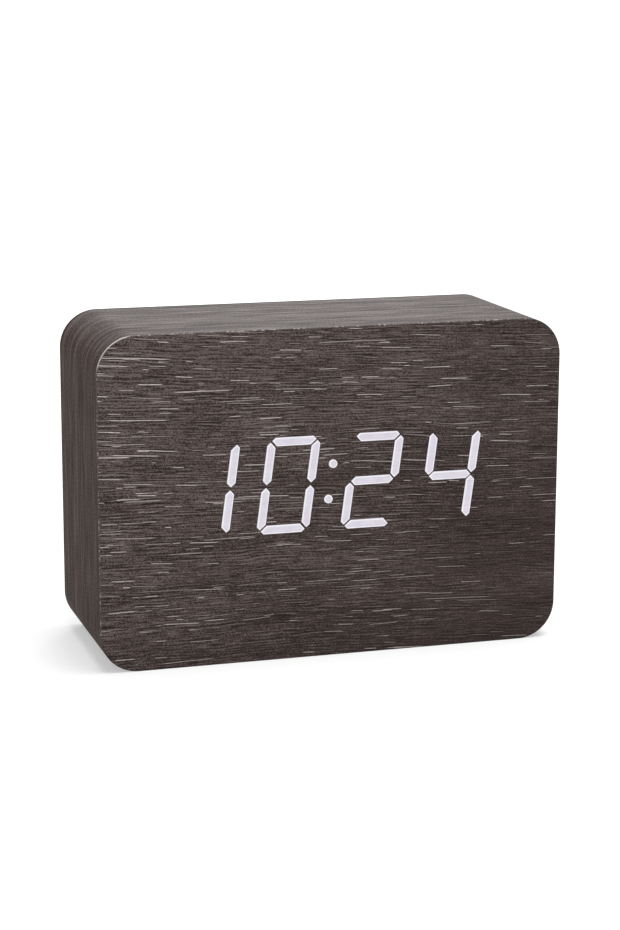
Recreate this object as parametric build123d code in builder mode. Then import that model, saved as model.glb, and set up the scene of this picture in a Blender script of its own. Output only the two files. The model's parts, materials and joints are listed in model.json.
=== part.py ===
from build123d import *

import math
import os

os.makedirs("parts", exist_ok=True)

# Digital LED desk clock: a board case wrapped in wood-grain film, with a lit display behind the film.
# Millimetres. X runs to the right as the display is read, Y from front to back, Z up.
# The origin is on the surface that the clock stands on, under the middle of the case.

# Case
case_width = 150.0
case_height = 105.0
case_depth = 57.0
case_corner_radius = 12.0
case_wall = 12.0
film_thickness = 0.5
film_edge_chamfer = 0.25
film_seam_gap = 0.2
front_board_thickness = 3.0

# Display; its side room is the mean of the two from the outer digits to the sides of the case
display_side_room = 26.965
display_shift = -1.15
display_rise = 3.4
digit_height = 30.45
digit_slant = 7.6
digit_corner_cut = 2.4
digit_gap = 8.72
colon_gap = 10.23
segment_width = 2.75
segment_mitre_gap = 0.55
segment_reveal = 0.15
colon_radius = 1.4
colon_spacing = 11.2
colon_rise = 0.35
mask_thickness = 0.2
reflector_margin = 3.5
reflector_depth = 7.8
window_clearance = 0.2
diffuser_thickness = 2.0
led_width = 1.4
led_height = 0.8

# Main board and what stands on it
board_side_room = 7.0
board_ledge = 9.15
board_thickness = 1.6
board_screw_inset = 3.5
chip_width = 10.0
chip_height = 1.5
chip_standoff = 0.1
chip_lead_count = 11
chip_lead_pitch = 0.8
chip_lead_width = 0.35
chip_lead_reach = 1.2
chip_lead_thickness = 0.2
crystal_radius = 1.0
crystal_length = 6.0
crystal_lead_radius = 0.2
crystal_lead_spacing = 0.8
crystal_lead_length = 0.6
capacitor_radius = 3.15
capacitor_height = 7.0
capacitor_crimp = 0.4
resistor_length = 1.6
resistor_width = 0.8
resistor_height = 0.5
resistor_pitch = 2.6
resistor_columns = 4
resistor_rows = 3
buzzer_radius = 6.0
buzzer_height = 8.5
buzzer_hole_radius = 1.2
buzzer_hole_depth = 1.5
socket_length = 7.5
socket_width = 4.5
socket_height = 5.0
socket_chamfer = 0.4

# Back cover
cover_ledge = 7.0
cover_thickness = 3.0
cover_inset = 1.0
cover_clearance = 0.2
cover_edge_chamfer = 0.3
sound_hole_radius = 0.9
sound_hole_pitch = 3.4
sound_hole_count = 6

# Screws, all of one thread
screw_shank_radius = 1.25
screw_head_radius = 2.3
screw_head_height = 1.5
screw_fillet = 0.5
screw_slot_length = 2.6
screw_slot_width = 0.6
screw_slot_depth = 0.8
screw_clearance = 0.2
screw_grip = 0.05
cover_screw_length = 12.0
board_screw_bite = 2.4
key_screw_bite = 4.5
screw_seat_depth = 1.2

# Keys
key_pitch = 16.0
key_width = 9.0
key_height = 5.0
key_corner_radius = 1.6
key_edge_fillet = 0.5
key_proud = 0.8
key_flange_margin = 1.0
key_flange_thickness = 1.2
key_stop_gap = 0.1
key_side_clearance = 0.2
key_travel = 0.5
switch_width = 6.0
switch_height = 3.5
plunger_radius = 1.7
plunger_height = 1.3
plunger_sunk = 0.9
plunger_clearance = 0.08
key_board_height = 14.0
key_board_top_room = 4.0
key_post_gap = 0.5
key_post_radius = 3.0

# Battery bay, for three AAA cells
cell_radius = 5.25
cell_length = 44.5
cell_nub_radius = 1.9
cell_nub_length = 1.0
cell_edge_fillet = 0.5
cell_gap = 0.5
cell_count = 3
cell_clearance = 0.3
contact_thickness = 0.3
contact_spring_reach = 3.6
contact_width = 8.0
contact_spring_width = 5.0
well_wall = 1.5
door_floor_room = 3.85
door_thickness = 2.4
door_lap = 1.6
door_clearance = 0.25
door_seat_gap = 0.1
door_pin_radius = 0.75
door_pin_length = 1.5
door_pin_clearance = 0.05
door_corner_radius = 2.0
finger_groove_width = 16.0
finger_groove_height = 5.0
finger_groove_depth = 0.9

# Low-voltage inlet, placed from the side and the floor of the case's cavity
jack_side_room = 18.0
jack_floor_room = 18.5
jack_body_width = 9.0
jack_body_depth = 11.0
jack_nose_radius = 3.4
jack_hole_clearance = 0.1
jack_bore_radius = 1.9
jack_bore_depth = 10.0
jack_pin_radius = 0.65
jack_root_radius = 0.9
jack_pin_sunk = 1.0
jack_pin_tail = 1.5
jack_tab_width = 2.0
jack_tab_thickness = 0.4
jack_tab_length = 3.0
jack_tab_offset = 3.0
jack_pocket_wall = 1.2
jack_pocket_height = 6.0

# Leads inside the case
lead_radius = 0.65
lead_spacing = 2.5
lead_hole_clearance = 0.2
ribbon_width = 5.1
ribbon_thickness = 0.9

# Cuts run past the faces that they open by this much
overrun = 1.0

# How much of the shorter run beside a lead's corner its bend may take
bend_share = 0.45

# Where the leads turn, as shares of the room between the sockets and the battery well,
# and where the ribbon turns, as a share of the room between the key board and its socket
power_turn_shares = (0.75, 0.375)
battery_turn_share = 0.5
ribbon_turn_share = 0.25

# Places on the main board, as shares of half its width and half its height
chip_place_share = (-0.24, -0.1)
crystal_place_share = (-0.48, -0.22)
capacitor_place_shares = ((0.24, 0.62), (0.4, 0.62))
resistor_place_share = (0.12, 0.12)
buzzer_place_share = (-0.72, 0.42)
key_socket_place_share = (-0.2, 0.72)
power_socket_place_share = (0.8, 0.3)
battery_socket_place_share = (0.56, 0.02)

# Planes and places that the sizes give
front_y = -case_depth / 2
back_y = case_depth / 2
case_mid_z = case_height / 2
film_back_y = front_y + film_thickness
board_back_y = film_back_y + front_board_thickness
rim_y = back_y - film_thickness
core_width = case_width - 2 * film_thickness
core_height = case_height - 2 * film_thickness
core_radius = case_corner_radius - film_thickness
case_board_thickness = case_wall - film_thickness
cavity_width = case_width - 2 * case_wall
cavity_height = case_height - 2 * case_wall
rebate_width = cavity_width + 2 * cover_ledge
rebate_height = cavity_height + 2 * cover_ledge
rebate_radius = cover_ledge
cover_back_y = back_y - cover_inset
cover_front_y = cover_back_y - cover_thickness

display_z = case_mid_z + display_rise
mask_back_y = film_back_y + mask_thickness
reflector_back_y = mask_back_y + reflector_depth
main_board_y = reflector_back_y + board_thickness
slant_share = math.tan(math.radians(digit_slant))
# Four digits share the display's width with a gap inside each pair and the colon's gap between the pairs.
display_width = case_width - 2 * display_side_room
digit_width = (display_width - 2 * digit_gap - colon_gap) / 4
digit_pitch = digit_width + digit_gap
pitch_across_colon = digit_width + colon_gap
reflector_width = display_width + digit_height * slant_share + 2 * reflector_margin
reflector_height = digit_height + 2 * reflector_margin
main_board_width = cavity_width - 2 * board_side_room
main_board_height = reflector_height + 2 * board_ledge


def upright(y):
    """The plane at depth y, on which a sketch reads x to the right and z up."""
    return Plane.XZ.offset(-y)


def corners(width, height, middle_x, middle_z):
    """The four corners of a rectangle on an upright plane."""
    return [
        (middle_x + side * width / 2, middle_z + rise * height / 2)
        for side in (-1, 1)
        for rise in (-1, 1)
    ]


def on_main_board(share):
    """The point of an upright plane that a pair of shares names on the main board."""
    return (
        display_shift + share[0] * main_board_width / 2,
        display_z + share[1] * main_board_height / 2,
    )


# Display

half_width = digit_width / 2
half_height = digit_height / 2
mitre_step = segment_mitre_gap / math.sqrt(2)
outer_tip = (digit_corner_cut + mitre_step) / 2
inner_tip = (digit_corner_cut - mitre_step) / 2
half_segment = segment_width / 2

top_segment = [
    (-half_width + outer_tip, half_height - inner_tip),
    (-half_width + digit_corner_cut, half_height),
    (half_width - digit_corner_cut, half_height),
    (half_width - outer_tip, half_height - inner_tip),
    (half_width - segment_width - mitre_step, half_height - segment_width),
    (-half_width + segment_width + mitre_step, half_height - segment_width),
]
right_segment = [
    (half_width - inner_tip, half_height - outer_tip),
    (half_width, half_height - digit_corner_cut),
    (half_width, half_segment + mitre_step),
    (half_width - half_segment, mitre_step),
    (half_width - segment_width, half_segment + mitre_step),
    (half_width - segment_width, half_height - segment_width - mitre_step),
]
middle_segment = [
    (-half_width + half_segment + mitre_step / 2, 0),
    (-half_width + segment_width + mitre_step / 2, half_segment),
    (half_width - segment_width - mitre_step / 2, half_segment),
    (half_width - half_segment - mitre_step / 2, 0),
    (half_width - segment_width - mitre_step / 2, -half_segment),
    (-half_width + segment_width + mitre_step / 2, -half_segment),
]

# Each segment is one of the three outlines, mirrored across the digit or about its middle.
segment_shapes = {
    "top": (top_segment, 1, 1),
    "upper_right": (right_segment, 1, 1),
    "lower_right": (right_segment, 1, -1),
    "bottom": (top_segment, 1, -1),
    "lower_left": (right_segment, -1, -1),
    "upper_left": (right_segment, -1, 1),
    "middle": (middle_segment, 1, 1),
}
numerals = {
    0: ("top", "upper_right", "lower_right", "bottom", "lower_left", "upper_left"),
    1: ("upper_right", "lower_right"),
    2: ("top", "upper_right", "middle", "lower_left", "bottom"),
    4: ("upper_left", "middle", "upper_right", "lower_right"),
}
digit_middles = {
    "hour_tens": display_shift - pitch_across_colon / 2 - digit_pitch,
    "hour_units": display_shift - pitch_across_colon / 2,
    "minute_tens": display_shift + pitch_across_colon / 2,
    "minute_units": display_shift + pitch_across_colon / 2 + digit_pitch,
}
shown_time = {"hour_tens": 1, "hour_units": 0, "minute_tens": 2, "minute_units": 4}
colon_places = [
    (display_shift + (colon_rise + side * colon_spacing / 2) * slant_share,
     display_z + colon_rise + side * colon_spacing / 2)
    for side in (-1, 1)
]


def segment_outline(segment, digit):
    """The slanted outline of one segment of a digit, on an upright plane."""
    points, across, up = segment_shapes[segment]
    return [
        (digit_middles[digit] + across * x + up * z * slant_share, display_z + up * z)
        for x, z in points
    ]


def outline_middle(points):
    """The mean of an outline's points."""
    return (
        sum(x for x, _ in points) / len(points),
        sum(z for _, z in points) / len(points),
    )


def draw_segments(names, digit, mode=Mode.ADD):
    """Draws the named segments of a digit in the sketch in hand."""
    for segment in names:
        Polygon(*segment_outline(segment, digit), align=None, mode=mode)


def draw_all_wells(mode=Mode.ADD):
    """Draws every segment of every digit, and the colon, in the sketch in hand."""
    for digit in digit_middles:
        draw_segments(segment_shapes, digit, mode)
    with Locations(*colon_places):
        Circle(colon_radius, mode=mode)


# The lit regions of the film, flush with its face
for digit, numeral in shown_time.items():
    with BuildPart() as lit_digit:
        with BuildSketch(upright(film_back_y)):
            draw_segments(numerals[numeral], digit)
        extrude(amount=film_thickness)
    lit_digit.part.label = f"{digit}_segments"
    export_step(lit_digit.part, f"parts/{digit}_segments.step")

with BuildPart() as colon_dots:
    with BuildSketch(upright(film_back_y)):
        with Locations(*colon_places):
            Circle(colon_radius)
    extrude(amount=film_thickness)
colon_dots.part.label = "colon_dots"
export_step(colon_dots.part, "parts/colon_dots.step")

# Front film, cut out round each lit region
with BuildPart() as front_veneer:
    with BuildSketch(upright(film_back_y)):
        with Locations((0, case_mid_z)):
            RectangleRounded(case_width, case_height, case_corner_radius)
    extrude(amount=film_thickness)
    chamfer(front_veneer.faces().sort_by(Axis.Y)[0].edges(), length=film_edge_chamfer)
    with BuildSketch(upright(film_back_y + overrun)) as lit_cutouts:
        for digit, numeral in shown_time.items():
            draw_segments(numerals[numeral], digit)
        offset(amount=segment_reveal, kind=Kind.INTERSECTION)
        with Locations(*colon_places):
            Circle(colon_radius + segment_reveal)
    extrude(amount=film_thickness + 2 * overrun, mode=Mode.SUBTRACT)
front_veneer.part.label = "front_veneer"
export_step(front_veneer.part, "parts/front_veneer.step")

with BuildPart() as display_mask:
    with BuildSketch(upright(mask_back_y)):
        with Locations((display_shift, display_z)):
            Rectangle(reflector_width, reflector_height)
        draw_all_wells(Mode.SUBTRACT)
    extrude(amount=mask_thickness)
display_mask.part.label = "display_mask"
export_step(display_mask.part, "parts/display_mask.step")

with BuildPart() as display_reflector:
    with BuildSketch(upright(reflector_back_y)):
        with Locations((display_shift, display_z)):
            Rectangle(reflector_width, reflector_height)
        draw_all_wells(Mode.SUBTRACT)
    extrude(amount=reflector_depth)
display_reflector.part.label = "display_reflector"
export_step(display_reflector.part, "parts/display_reflector.step")

with BuildPart() as segment_diffusers:
    with BuildSketch(upright(mask_back_y + diffuser_thickness)):
        draw_all_wells()
    extrude(amount=diffuser_thickness)
segment_diffusers.part.label = "segment_diffusers"
export_step(segment_diffusers.part, "parts/segment_diffusers.step")

led_places = colon_places + [
    outline_middle(segment_outline(segment, digit))
    for digit in digit_middles
    for segment in segment_shapes
]
with BuildPart() as display_leds:
    with BuildSketch(upright(reflector_back_y)):
        with Locations(*led_places):
            Rectangle(led_width, led_width)
    extrude(amount=led_height)
display_leds.part.label = "display_leds"
export_step(display_leds.part, "parts/display_leds.step")

# Case

board_screw_places = corners(
    main_board_width - 2 * board_screw_inset,
    main_board_height - 2 * board_screw_inset,
    display_shift,
    display_z,
)
cover_screw_places = corners(
    cavity_width / 2 + 2 * cover_ledge,
    cavity_height + cover_ledge,
    0,
    case_mid_z,
)

with BuildPart() as front_board:
    with BuildSketch(upright(board_back_y)):
        with Locations((0, case_mid_z)):
            RectangleRounded(core_width, core_height, core_radius)
        with Locations((display_shift, display_z)):
            Rectangle(
                reflector_width + 2 * window_clearance,
                reflector_height + 2 * window_clearance,
                mode=Mode.SUBTRACT,
            )
    extrude(amount=front_board_thickness)
    with BuildSketch(upright(board_back_y)):
        with Locations(*board_screw_places):
            Circle(screw_shank_radius + screw_grip)
    extrude(amount=board_screw_bite + screw_clearance, mode=Mode.SUBTRACT)
front_board.part.label = "front_board"
export_step(front_board.part, "parts/front_board.step")

# The body of the case: four boards glued into a ring, rounded outside and rebated for the cover
board_middle_x = (core_width - case_board_thickness) / 2
board_middle_z = (core_height - case_board_thickness) / 2
case_boards = {
    "case_top": (0, board_middle_z, core_width, case_board_thickness),
    "case_bottom": (0, -board_middle_z, core_width, case_board_thickness),
    "case_left": (-board_middle_x, 0, case_board_thickness, cavity_height),
    "case_right": (board_middle_x, 0, case_board_thickness, cavity_height),
}
for board_name, (board_x, board_rise, board_width, board_height) in case_boards.items():
    with BuildPart() as case_board:
        with BuildSketch(upright(rim_y)):
            with Locations((0, case_mid_z)):
                RectangleRounded(core_width, core_height, core_radius)
            with Locations((board_x, case_mid_z + board_rise)):
                Rectangle(board_width, board_height, mode=Mode.INTERSECT)
        extrude(amount=rim_y - board_back_y)
        with BuildSketch(upright(rim_y + overrun)):
            with Locations((0, case_mid_z)):
                RectangleRounded(rebate_width, rebate_height, rebate_radius)
        extrude(amount=rim_y + overrun - cover_front_y, mode=Mode.SUBTRACT)
        with BuildSketch(upright(cover_front_y)):
            with Locations(*cover_screw_places):
                Circle(screw_shank_radius + screw_grip)
        extrude(amount=cover_screw_length, mode=Mode.SUBTRACT)
    case_board.part.label = board_name
    export_step(case_board.part, f"parts/{board_name}.step")

with BuildPart() as wrap_veneer:
    with BuildSketch(upright(back_y)):
        with Locations((0, case_mid_z)):
            RectangleRounded(case_width, case_height, case_corner_radius)
            RectangleRounded(core_width, core_height, core_radius, mode=Mode.SUBTRACT)
        with Locations((0, film_thickness / 2)):
            Rectangle(film_seam_gap, film_thickness + 2 * overrun, mode=Mode.SUBTRACT)
    extrude(amount=back_y - film_back_y)
wrap_veneer.part.label = "wrap_veneer"
export_step(wrap_veneer.part, "parts/wrap_veneer.step")

with BuildPart() as rim_veneer:
    with BuildSketch(upright(back_y)):
        with Locations((0, case_mid_z)):
            RectangleRounded(core_width, core_height, core_radius)
            RectangleRounded(
                rebate_width, rebate_height, rebate_radius, mode=Mode.SUBTRACT
            )
    extrude(amount=film_thickness)
rim_veneer.part.label = "rim_veneer"
export_step(rim_veneer.part, "parts/rim_veneer.step")

# Main board

with BuildPart() as main_board:
    with BuildSketch(upright(main_board_y)):
        with Locations((display_shift, display_z)):
            Rectangle(main_board_width, main_board_height)
        with Locations(*board_screw_places):
            Circle(screw_shank_radius + screw_clearance, mode=Mode.SUBTRACT)
    extrude(amount=board_thickness)
main_board.part.label = "main_board"
export_step(main_board.part, "parts/main_board.step")

with BuildPart() as board_spacers:
    with BuildSketch(upright(reflector_back_y)):
        with Locations(*board_screw_places):
            Circle(screw_head_radius + screw_clearance)
            Circle(screw_shank_radius + screw_clearance, mode=Mode.SUBTRACT)
    extrude(amount=reflector_back_y - board_back_y)
board_spacers.part.label = "board_spacers"
export_step(board_spacers.part, "parts/board_spacers.step")


def add_screws(places, seat_y, length, facing):
    """Adds pan-head screws to the part in hand: heads on seat_y, facing 1 to the back, -1 to the front."""
    for x, z in places:
        head_plane = Plane(
            origin=(x, seat_y, z), x_dir=(facing, 0, 0), z_dir=(0, facing, 0)
        )
        with BuildSketch(head_plane) as head:
            Circle(screw_head_radius)
        extrude(head.sketch, amount=screw_head_height)
        crown = edges(Select.LAST).filter_by(GeomType.CIRCLE).sort_by(Axis((0, 0, 0), (0, facing, 0)))
        fillet(crown[-1], radius=screw_fillet)
        with BuildSketch(head_plane) as shank:
            Circle(screw_shank_radius)
        extrude(shank.sketch, amount=-length)
        with BuildSketch(head_plane.offset(screw_head_height)) as cross:
            Rectangle(screw_slot_length, screw_slot_width)
            Rectangle(screw_slot_width, screw_slot_length)
        extrude(cross.sketch, amount=-screw_slot_depth, mode=Mode.SUBTRACT)


with BuildPart() as board_screws:
    board_screw_length = main_board_y - board_back_y + board_screw_bite
    add_screws(board_screw_places, main_board_y, board_screw_length, 1)
board_screws.part.label = "board_screws"
export_step(board_screws.part, "parts/board_screws.step")

# Clock chip, a square package with leads along its four sides
chip_x, chip_z = on_main_board(chip_place_share)
chip_seat_y = main_board_y + chip_standoff
with BuildPart() as clock_chip:
    with BuildSketch(upright(chip_seat_y)):
        with Locations((chip_x, chip_z)):
            Rectangle(chip_width, chip_width)
    extrude(amount=-chip_height)
    lead_span = chip_width + 2 * chip_lead_reach
    with BuildSketch(upright(main_board_y)):
        with Locations((chip_x, chip_z)):
            with GridLocations(chip_lead_pitch, 0, chip_lead_count, 1):
                Rectangle(chip_lead_width, lead_span)
            with GridLocations(0, chip_lead_pitch, 1, chip_lead_count):
                Rectangle(lead_span, chip_lead_width)
    extrude(amount=-chip_lead_thickness)
clock_chip.part.label = "clock_chip"
export_step(clock_chip.part, "parts/clock_chip.step")

crystal_x, crystal_z = on_main_board(crystal_place_share)
with BuildPart() as clock_crystal:
    with BuildSketch(upright(main_board_y + crystal_lead_length)):
        with Locations((crystal_x, crystal_z)):
            Circle(crystal_radius)
    extrude(amount=-crystal_length)
    with BuildSketch(upright(main_board_y)):
        with Locations((crystal_x, crystal_z)):
            with GridLocations(crystal_lead_spacing, 0, 2, 1):
                Circle(crystal_lead_radius)
    extrude(amount=-2 * crystal_lead_length)
clock_crystal.part.label = "clock_crystal"
export_step(clock_crystal.part, "parts/clock_crystal.step")

with BuildPart() as smoothing_capacitors:
    with BuildSketch(upright(main_board_y)):
        with Locations(*[on_main_board(share) for share in capacitor_place_shares]):
            Circle(capacitor_radius)
    extrude(amount=-capacitor_height)
    can_tops = smoothing_capacitors.faces().sort_by(Axis.Y)[-2:]
    fillet(can_tops.edges(), radius=capacitor_crimp)
smoothing_capacitors.part.label = "smoothing_capacitors"
export_step(smoothing_capacitors.part, "parts/smoothing_capacitors.step")

with BuildPart() as chip_resistors:
    with BuildSketch(upright(main_board_y)):
        with Locations(on_main_board(resistor_place_share)):
            with GridLocations(
                resistor_pitch, resistor_pitch, resistor_columns, resistor_rows
            ):
                Rectangle(resistor_length, resistor_width)
    extrude(amount=-resistor_height)
chip_resistors.part.label = "chip_resistors"
export_step(chip_resistors.part, "parts/chip_resistors.step")

with BuildPart() as alarm_buzzer:
    with BuildSketch(upright(main_board_y)):
        with Locations(on_main_board(buzzer_place_share)):
            Circle(buzzer_radius)
    extrude(amount=-buzzer_height)
    with BuildSketch(upright(main_board_y + buzzer_height)):
        with Locations(on_main_board(buzzer_place_share)):
            Circle(buzzer_hole_radius)
    extrude(amount=buzzer_hole_depth, mode=Mode.SUBTRACT)
alarm_buzzer.part.label = "alarm_buzzer"
export_step(alarm_buzzer.part, "parts/alarm_buzzer.step")

socket_place_shares = (
    key_socket_place_share,
    power_socket_place_share,
    battery_socket_place_share,
)
socket_top_y = main_board_y + socket_height
with BuildPart() as lead_sockets:
    with BuildSketch(upright(main_board_y)):
        with Locations(*[on_main_board(share) for share in socket_place_shares]):
            Rectangle(socket_length, socket_width)
    extrude(amount=-socket_height)
    chamfer(lead_sockets.edges().filter_by(Axis.Y), length=socket_chamfer)
lead_sockets.part.label = "lead_sockets"
export_step(lead_sockets.part, "parts/lead_sockets.step")

# Keys, from the back face inwards

key_z = case_height - case_wall - key_board_top_room - key_board_height / 2
key_middles = {"set": key_pitch, "up": 0, "down": -key_pitch}
key_flange_back_y = cover_front_y - key_stop_gap
key_flange_front_y = key_flange_back_y - key_flange_thickness
plunger_top_y = key_flange_front_y - key_flange_thickness
switch_top_y = plunger_top_y - plunger_height
key_board_back_y = switch_top_y - switch_height
key_board_front_y = key_board_back_y - board_thickness
key_flange_reach = key_pitch + key_width / 2 + key_flange_margin
key_post_offset = key_flange_reach + key_post_gap + key_post_radius
key_board_width = 2 * (key_post_offset + key_post_radius)
key_post_places = [(-key_post_offset, key_z), (key_post_offset, key_z)]
key_places = [(middle, key_z) for middle in key_middles.values()]

for key, middle in key_middles.items():
    with BuildPart() as button:
        with BuildSketch(upright(cover_back_y + key_proud)):
            with Locations((middle, key_z)):
                RectangleRounded(key_width, key_height, key_corner_radius)
        extrude(amount=cover_back_y + key_proud - key_flange_back_y)
        fillet(button.faces().sort_by(Axis.Y)[-1].edges(), radius=key_edge_fillet)
        with BuildSketch(upright(key_flange_back_y)):
            with Locations((middle, key_z)):
                RectangleRounded(
                    key_width + 2 * key_flange_margin,
                    key_height + 2 * key_flange_margin,
                    key_corner_radius,
                )
        extrude(amount=key_flange_thickness)
        with BuildSketch(upright(key_flange_front_y)):
            with Locations((middle, key_z)):
                Circle(plunger_radius)
        extrude(amount=key_flange_front_y - plunger_top_y)
    button.part.label = f"{key}_button"
    export_step(button.part, f"parts/{key}_button.step")

    with BuildPart() as plunger:
        with BuildSketch(upright(plunger_top_y)):
            with Locations((middle, key_z)):
                Circle(plunger_radius)
        extrude(amount=plunger_height + plunger_sunk)
    plunger.part.label = f"{key}_plunger"
    export_step(plunger.part, f"parts/{key}_plunger.step")

with BuildPart() as key_switches:
    with BuildSketch(upright(switch_top_y)):
        with Locations(*key_places):
            Rectangle(switch_width, switch_width)
    extrude(amount=switch_height)
    with BuildSketch(upright(switch_top_y)):
        with Locations(*key_places):
            Circle(plunger_radius + plunger_clearance)
    extrude(amount=plunger_sunk + 2 * key_travel, mode=Mode.SUBTRACT)
key_switches.part.label = "key_switches"
export_step(key_switches.part, "parts/key_switches.step")

with BuildPart() as key_board:
    with BuildSketch(upright(key_board_back_y)):
        with Locations((0, key_z)):
            Rectangle(key_board_width, key_board_height)
        with Locations(*key_post_places):
            Circle(screw_shank_radius + screw_clearance, mode=Mode.SUBTRACT)
    extrude(amount=board_thickness)
key_board.part.label = "key_board"
export_step(key_board.part, "parts/key_board.step")

with BuildPart() as key_board_screws:
    add_screws(key_post_places, key_board_front_y, board_thickness + key_screw_bite, -1)
key_board_screws.part.label = "key_board_screws"
export_step(key_board_screws.part, "parts/key_board_screws.step")

# Battery bay, from the door inwards

cell_pitch = 2 * cell_radius + cell_gap
well_width = cell_length + contact_spring_reach + 2 * contact_thickness
well_height = (cell_count - 1) * cell_pitch + 2 * (cell_radius + cell_clearance)
door_front_y = cover_back_y - door_thickness
door_seat_y = door_front_y - door_seat_gap
cell_y = door_front_y - cell_clearance - cell_radius
well_floor_y = cell_y - cell_radius - cell_clearance
door_width = well_width + 2 * door_lap
door_height = well_height + 2 * door_lap
door_bottom_z = case_wall + door_floor_room
well_z = door_bottom_z + door_height / 2
hinge_y = cover_back_y - door_thickness / 2
hinge_z = door_bottom_z + door_thickness / 2
cell_zs = [well_z + (row - (cell_count - 1) / 2) * cell_pitch for row in range(cell_count)]

jack_x = cavity_width / 2 - jack_side_room
jack_z = case_wall + jack_floor_room
jack_place = (jack_x, jack_z)
jack_back_y = cover_front_y - jack_body_depth


def draw_door(margin):
    """Draws the door, or its seat where there is a margin: rounded above, square at the hinge."""
    with Locations((0, well_z)):
        RectangleRounded(
            door_width + 2 * margin, door_height + 2 * margin, door_corner_radius + margin
        )
    with Locations((0, hinge_z)):
        Rectangle(door_width + 2 * margin, door_thickness + 2 * margin)


with BuildPart() as back_cover:
    with BuildSketch(upright(cover_back_y)):
        with Locations((0, case_mid_z)):
            RectangleRounded(
                rebate_width - 2 * cover_clearance,
                rebate_height - 2 * cover_clearance,
                rebate_radius - cover_clearance,
            )
    extrude(amount=cover_thickness)
    # Battery well behind the plate, and the posts of the key board
    with BuildSketch(upright(cover_front_y)):
        with Locations((0, well_z)):
            Rectangle(well_width + 2 * well_wall, well_height + 2 * well_wall)
    extrude(amount=cover_front_y - well_floor_y + well_wall)
    with BuildSketch(upright(cover_front_y)):
        with Locations(*key_post_places):
            Circle(key_post_radius)
    extrude(amount=cover_front_y - key_board_back_y)
    # Pocket that grips the inlet
    with BuildSketch(upright(cover_front_y)):
        with Locations(jack_place):
            pocket_width = jack_body_width + 2 * jack_hole_clearance
            Rectangle(
                pocket_width + 2 * jack_pocket_wall, pocket_width + 2 * jack_pocket_wall
            )
            Rectangle(pocket_width, pocket_width, mode=Mode.SUBTRACT)
    extrude(amount=jack_pocket_height)
    with BuildSketch(upright(cover_back_y)):
        with Locations((0, well_z)):
            Rectangle(well_width, well_height)
    extrude(amount=cover_back_y - well_floor_y, mode=Mode.SUBTRACT)
    with BuildSketch(upright(cover_back_y)):
        draw_door(door_clearance)
    extrude(amount=cover_back_y - door_seat_y, mode=Mode.SUBTRACT)
    # Hinge holes of the door, in both side walls of its seat
    hinge_hole_reach = door_width / 2 + door_pin_length + 2 * door_clearance
    with BuildSketch(Plane.YZ.offset(-hinge_hole_reach)):
        with Locations((hinge_y, hinge_z)):
            Circle(door_pin_radius + door_pin_clearance)
    extrude(amount=2 * hinge_hole_reach, mode=Mode.SUBTRACT)
    # Keys, inlet, sound holes and screws
    with BuildSketch(upright(cover_back_y)):
        with Locations(*key_places):
            RectangleRounded(
                key_width + 2 * key_side_clearance,
                key_height + 2 * key_side_clearance,
                key_corner_radius + key_side_clearance,
            )
        with Locations(jack_place):
            Circle(jack_nose_radius + jack_hole_clearance)
        with Locations(on_main_board(buzzer_place_share)):
            Circle(sound_hole_radius)
            with PolarLocations(sound_hole_pitch, sound_hole_count):
                Circle(sound_hole_radius)
        with Locations(*cover_screw_places):
            Circle(screw_shank_radius + screw_clearance)
    extrude(amount=cover_thickness, mode=Mode.SUBTRACT)
    with BuildSketch(upright(cover_back_y)):
        with Locations(*cover_screw_places):
            Circle(screw_head_radius + screw_clearance)
    extrude(amount=screw_seat_depth, mode=Mode.SUBTRACT)
    with BuildSketch(upright(key_board_back_y)):
        with Locations(*key_post_places):
            Circle(screw_shank_radius + screw_grip)
    extrude(amount=-(key_screw_bite + screw_clearance), mode=Mode.SUBTRACT)
    # Holes for the battery leads, through the well's end walls behind the contacts
    for side, cell_z in ((1, cell_zs[-1]), (-1, cell_zs[0])):
        with BuildSketch(Plane.YZ.offset(side * well_width / 2)):
            with Locations((cell_y, cell_z)):
                Circle(lead_radius + lead_hole_clearance)
        extrude(amount=side * well_wall, mode=Mode.SUBTRACT)
    cover_rims = back_cover.faces().filter_by(Plane.XZ).sort_by(Axis.Y)[-1].edges()
    chamfer(cover_rims, length=cover_edge_chamfer)
back_cover.part.label = "back_cover"
export_step(back_cover.part, "parts/back_cover.step")

with BuildPart() as back_screws:
    cover_screw_seat_y = cover_back_y - screw_seat_depth
    add_screws(cover_screw_places, cover_screw_seat_y, cover_screw_length, 1)
back_screws.part.label = "back_screws"
export_step(back_screws.part, "parts/back_screws.step")

# The door's lower edge is round about the hinge line, so that it turns clear of its seat.
with BuildPart() as battery_door:
    with BuildSketch(upright(cover_back_y)):
        draw_door(0)
    extrude(amount=door_thickness)
    lower_edges = (
        battery_door.edges().filter_by(Axis.X).sort_by(Axis.Z)[:2].sort_by(Axis.Y)
    )
    fillet(lower_edges, radius=door_thickness / 2 - door_seat_gap / 2)
    with BuildSketch(Plane.YZ.offset(-door_width / 2 - door_pin_length)):
        with Locations((hinge_y, hinge_z)):
            Circle(door_pin_radius)
    extrude(amount=door_width + 2 * door_pin_length)
    # Groove for a fingertip, by the upper edge
    with BuildSketch(upright(cover_back_y)):
        with Locations((0, well_z + door_height / 2 - finger_groove_height)):
            SlotOverall(finger_groove_width, finger_groove_height)
    extrude(amount=finger_groove_depth, mode=Mode.SUBTRACT)
    groove_rim = battery_door.faces().filter_by(Plane.XZ).sort_by(Axis.Y)[-1].inner_wires()[0].edges()
    chamfer(groove_rim, length=cover_edge_chamfer)
battery_door.part.label = "battery_door"
export_step(battery_door.part, "parts/battery_door.step")

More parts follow.
